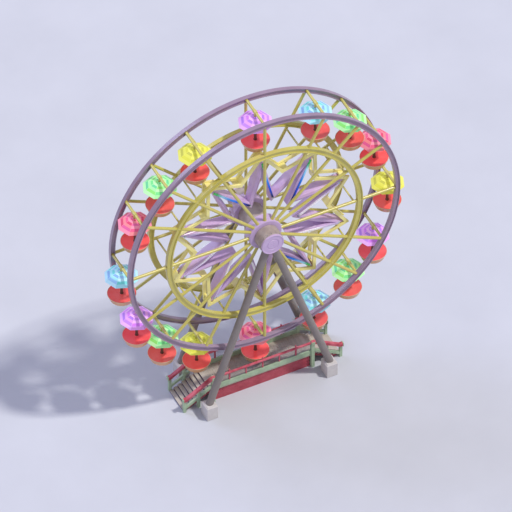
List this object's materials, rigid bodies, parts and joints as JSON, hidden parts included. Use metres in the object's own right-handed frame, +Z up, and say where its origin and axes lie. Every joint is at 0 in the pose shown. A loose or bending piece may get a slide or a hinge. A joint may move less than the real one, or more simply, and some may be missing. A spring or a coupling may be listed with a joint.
{
  "type": "ferris wheel",
  "caption": "Fairground wheel on two A-frames over a boarding platform, with round tubs under umbrella roofs that stay level as the wheel turns.",
  "frame": {"origin": "on the ground, straight below the hub's centre", "axes": "+X along the boarding platform to the right as seen from the front, +Y to the rear along the wheel's axle, +Z up"},
  "size_m": [20.16, 4.81, 22.48],
  "materials": {
    "rim_paint": "mauve gloss enamel on steel box section",
    "frame_paint": "yellow gloss enamel on steel tube",
    "star_paint": "pale yellow gloss enamel on flat steel bar",
    "lavender_paint": "lavender gloss enamel on steel",
    "bearing_iron": "grey-brown painted casting",
    "axle_steel": "machined steel",
    "leg_paint": "dark warm grey enamel on steel tube",
    "concrete": "cast concrete, struck smooth",
    "deck_boards": "weathered grey-beige deck boards",
    "crimson_paint": "crimson painted timber",
    "green_paint": "pale green painted timber",
    "stair_steel": "grey painted steel treads",
    "tub_gelcoat": "red glass-fibre gelcoat inside, tan outside",
    "canopy_violet": "two-tone violet glass-fibre panels",
    "canopy_blue": "two-tone light blue glass-fibre panels",
    "canopy_green": "two-tone light green glass-fibre panels",
    "canopy_pink": "two-tone pink glass-fibre panels",
    "canopy_yellow": "two-tone yellow glass-fibre panels"
  },
  "bodies": {
    "root": {"hub_cap_front": "lavender_paint", "hub_cap_rear": "lavender_paint", "bearing_housing_front": "bearing_iron", "bearing_housing_rear": "bearing_iron", "axle": "axle_steel", "platform_deck": "deck_boards", "platform_skirt": "crimson_paint", "stairs_left": "stair_steel", "stairs_right": "stair_steel", "leg_front_left": "leg_paint", "footing_front_left": "concrete", "leg_front_right": "leg_paint", "footing_front_right": "concrete", "leg_rear_left": "leg_paint", "footing_rear_left": "concrete", "leg_rear_right": "leg_paint", "footing_rear_right": "concrete", "platform_timbers_front": "green_paint", "handrail_front": "crimson_paint", "platform_timbers_rear": "green_paint", "handrail_rear": "crimson_paint"},
    "wheel": {"hub": "lavender_paint", "outer_rim_front": "rim_paint", "outer_rim_rear": "rim_paint", "side_frame_front": "frame_paint", "side_frame_rear": "frame_paint", "star_frame": "star_paint", "ray_cluster": "lavender_paint"},
    "gondola_01": {"gondola_01_car": "tub_gelcoat", "gondola_01_canopy": "canopy_violet"},
    "gondola_02": {"gondola_02_car": "tub_gelcoat", "gondola_02_canopy": "canopy_blue"},
    "gondola_03": {"gondola_03_car": "tub_gelcoat", "gondola_03_canopy": "canopy_green"},
    "gondola_04": {"gondola_04_car": "tub_gelcoat", "gondola_04_canopy": "canopy_pink"},
    "gondola_05": {"gondola_05_car": "tub_gelcoat", "gondola_05_canopy": "canopy_yellow"},
    "gondola_06": {"gondola_06_car": "tub_gelcoat", "gondola_06_canopy": "canopy_violet"},
    "gondola_07": {"gondola_07_car": "tub_gelcoat", "gondola_07_canopy": "canopy_green"},
    "gondola_08": {"gondola_08_car": "tub_gelcoat", "gondola_08_canopy": "canopy_blue"},
    "gondola_09": {"gondola_09_car": "tub_gelcoat", "gondola_09_canopy": "canopy_pink"},
    "gondola_10": {"gondola_10_car": "tub_gelcoat", "gondola_10_canopy": "canopy_yellow"},
    "gondola_11": {"gondola_11_car": "tub_gelcoat", "gondola_11_canopy": "canopy_green"},
    "gondola_12": {"gondola_12_car": "tub_gelcoat", "gondola_12_canopy": "canopy_violet"},
    "gondola_13": {"gondola_13_car": "tub_gelcoat", "gondola_13_canopy": "canopy_blue"},
    "gondola_14": {"gondola_14_car": "tub_gelcoat", "gondola_14_canopy": "canopy_pink"},
    "gondola_15": {"gondola_15_car": "tub_gelcoat", "gondola_15_canopy": "canopy_green"},
    "gondola_16": {"gondola_16_car": "tub_gelcoat", "gondola_16_canopy": "canopy_yellow"}
  },
  "joints": [
    {"name": "wheel_spin", "type": "hinge", "parent": "root", "child": "wheel", "pos_m": [0, 0, 13.32], "axis": [0, 1, 0], "continuous": true},
    {"name": "gondola_01_swing", "type": "hinge", "parent": "wheel", "child": "gondola_01", "pos_m": [0, 0, 22.32], "axis": [0, 1, 0], "continuous": true},
    {"name": "gondola_02_swing", "type": "hinge", "parent": "wheel", "child": "gondola_02", "pos_m": [4.02492, 0, 21.36985], "axis": [0, 1, 0], "continuous": true},
    {"name": "gondola_03_swing", "type": "hinge", "parent": "wheel", "child": "gondola_03", "pos_m": [6.36396, 0, 19.68396], "axis": [0, 1, 0], "continuous": true},
    {"name": "gondola_04_swing", "type": "hinge", "parent": "wheel", "child": "gondola_04", "pos_m": [8.04984, 0, 17.34492], "axis": [0, 1, 0], "continuous": true},
    {"name": "gondola_05_swing", "type": "hinge", "parent": "wheel", "child": "gondola_05", "pos_m": [9, 0, 13.32], "axis": [0, 1, 0], "continuous": true},
    {"name": "gondola_06_swing", "type": "hinge", "parent": "wheel", "child": "gondola_06", "pos_m": [8.04984, 0, 9.29508], "axis": [0, 1, 0], "continuous": true},
    {"name": "gondola_07_swing", "type": "hinge", "parent": "wheel", "child": "gondola_07", "pos_m": [6.36396, 0, 6.95604], "axis": [0, 1, 0], "continuous": true},
    {"name": "gondola_08_swing", "type": "hinge", "parent": "wheel", "child": "gondola_08", "pos_m": [4.02492, 0, 5.27015], "axis": [0, 1, 0], "continuous": true},
    {"name": "gondola_09_swing", "type": "hinge", "parent": "wheel", "child": "gondola_09", "pos_m": [0, 0, 4.32], "axis": [0, 1, 0], "continuous": true},
    {"name": "gondola_10_swing", "type": "hinge", "parent": "wheel", "child": "gondola_10", "pos_m": [-4.02492, 0, 5.27015], "axis": [0, 1, 0], "continuous": true},
    {"name": "gondola_11_swing", "type": "hinge", "parent": "wheel", "child": "gondola_11", "pos_m": [-6.36396, 0, 6.95604], "axis": [0, 1, 0], "continuous": true},
    {"name": "gondola_12_swing", "type": "hinge", "parent": "wheel", "child": "gondola_12", "pos_m": [-8.04984, 0, 9.29508], "axis": [0, 1, 0], "continuous": true},
    {"name": "gondola_13_swing", "type": "hinge", "parent": "wheel", "child": "gondola_13", "pos_m": [-9, 0, 13.32], "axis": [0, 1, 0], "continuous": true},
    {"name": "gondola_14_swing", "type": "hinge", "parent": "wheel", "child": "gondola_14", "pos_m": [-8.04984, 0, 17.34492], "axis": [0, 1, 0], "continuous": true},
    {"name": "gondola_15_swing", "type": "hinge", "parent": "wheel", "child": "gondola_15", "pos_m": [-6.36396, 0, 19.68396], "axis": [0, 1, 0], "continuous": true},
    {"name": "gondola_16_swing", "type": "hinge", "parent": "wheel", "child": "gondola_16", "pos_m": [-4.02492, 0, 21.36985], "axis": [0, 1, 0], "continuous": true}
  ],
  "couplings": [
    {"joint": "gondola_01_swing", "follows": "wheel_spin", "ratio": -1},
    {"joint": "gondola_02_swing", "follows": "wheel_spin", "ratio": -1},
    {"joint": "gondola_03_swing", "follows": "wheel_spin", "ratio": -1},
    {"joint": "gondola_04_swing", "follows": "wheel_spin", "ratio": -1},
    {"joint": "gondola_05_swing", "follows": "wheel_spin", "ratio": -1},
    {"joint": "gondola_06_swing", "follows": "wheel_spin", "ratio": -1},
    {"joint": "gondola_07_swing", "follows": "wheel_spin", "ratio": -1},
    {"joint": "gondola_08_swing", "follows": "wheel_spin", "ratio": -1},
    {"joint": "gondola_09_swing", "follows": "wheel_spin", "ratio": -1},
    {"joint": "gondola_10_swing", "follows": "wheel_spin", "ratio": -1},
    {"joint": "gondola_11_swing", "follows": "wheel_spin", "ratio": -1},
    {"joint": "gondola_12_swing", "follows": "wheel_spin", "ratio": -1},
    {"joint": "gondola_13_swing", "follows": "wheel_spin", "ratio": -1},
    {"joint": "gondola_14_swing", "follows": "wheel_spin", "ratio": -1},
    {"joint": "gondola_15_swing", "follows": "wheel_spin", "ratio": -1},
    {"joint": "gondola_16_swing", "follows": "wheel_spin", "ratio": -1}
  ]
}
